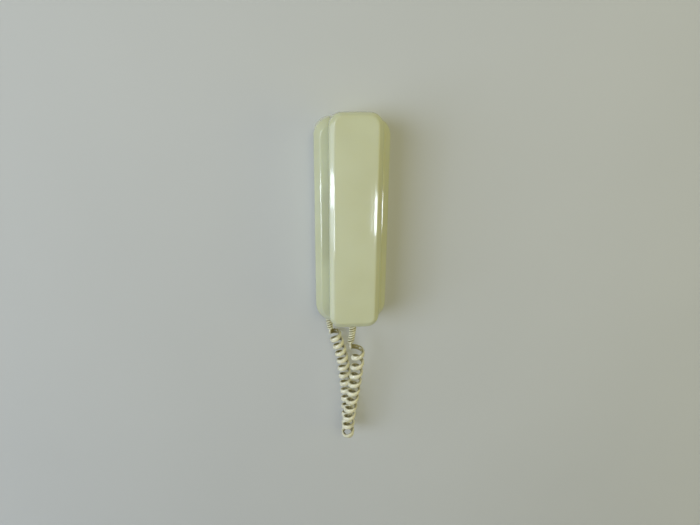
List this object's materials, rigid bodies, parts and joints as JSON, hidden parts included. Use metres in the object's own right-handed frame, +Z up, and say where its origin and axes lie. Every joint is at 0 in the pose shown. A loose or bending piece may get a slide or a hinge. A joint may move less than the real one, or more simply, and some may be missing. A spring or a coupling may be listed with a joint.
{
  "type": "wall intercom phone",
  "caption": "Wall-mounted intercom phone: a slim bevelled base, a handset that lifts off it, a sprung hook lever that works a switch, and a curly cord hanging in a narrow loop.",
  "frame": {"origin": "halfway between the wall plate's two screw holes, on its back face, on the wall", "axes": "+X to the right as seen from the room, +Y into the wall, +Z up along the handset"},
  "size_m": [0.074, 0.06, 0.3708],
  "materials": {
    "ivory_plastic": "glossy yellowed ivory moulding",
    "plate_plastic": "satin ivory moulding",
    "cord_cream": "satin cream cord jacket",
    "boot_cream": "satin cream ribbed sleeve",
    "dark_rubber": "matt dark rubber",
    "zinc_steel": "zinc-plated steel",
    "bright_steel": "drawn steel",
    "board_laminate": "brown paper laminate",
    "terminal_plastic": "white moulding",
    "black_plastic": "black moulding",
    "capacitor_sleeve": "blue shrink sleeve",
    "white_plastic": "natural white moulding",
    "receiver_alloy": "pressed alloy can",
    "dark_foam": "open-cell foam ring",
    "ballast_iron": "painted iron slug",
    "wire_red": "insulated wires"
  },
  "bodies": {
    "base": {"wall_plate": "plate_plastic", "base_cover": "ivory_plastic", "rest_pads": "dark_rubber", "cover_screw": "zinc_steel", "circuit_board": "board_laminate", "board_screws": "zinc_steel", "terminal_block": "terminal_plastic", "terminal_screws": "zinc_steel", "call_sounder": "black_plastic", "capacitors": "capacitor_sleeve", "amplifier_chip": "black_plastic", "cord_connector": "white_plastic", "inner_lead": "cord_cream", "hook_bracket": "zinc_steel", "hook_pivot_pin": "bright_steel", "hook_spring": "bright_steel", "hook_switch": "black_plastic", "base_cord_boot": "boot_cream", "base_lead": "cord_cream", "cord_curls": "cord_cream"},
    "handset": {"handset_front_shell": "ivory_plastic", "handset_back_shell": "ivory_plastic", "handset_screws": "zinc_steel", "receiver_capsule": "receiver_alloy", "receiver_gasket": "dark_foam", "microphone_capsule": "receiver_alloy", "microphone_boot": "dark_rubber", "ballast_weight": "ballast_iron", "handset_wires": "wire_red", "handset_cord_boot": "boot_cream", "handset_lead": "cord_cream"},
    "hook": {"hook_lever": "ivory_plastic"},
    "plunger": {"switch_plunger": "white_plastic"}
  },
  "joints": [
    {"name": "handset_lift", "type": "slide", "parent": "base", "child": "handset", "axis": [0, -0.9397, 0.342], "range_m": [0, 0.06], "deforming": ["cord_curls"]},
    {"name": "hook_swing", "type": "hinge", "parent": "base", "child": "hook", "pos_m": [0.014, -0.013, 0.012], "axis": [1, 0, 0], "range_deg": [0, 10], "deforming": ["hook_spring"]},
    {"name": "plunger_follow", "type": "slide", "parent": "base", "child": "plunger", "axis": [0, -1, 0], "range_m": [0, 0.0015]}
  ],
  "couplings": [
    {"joint": "hook_swing", "follows": "handset_lift", "rad_per_m": 2.9},
    {"joint": "plunger_follow", "follows": "handset_lift", "ratio": 0.0249}
  ]
}
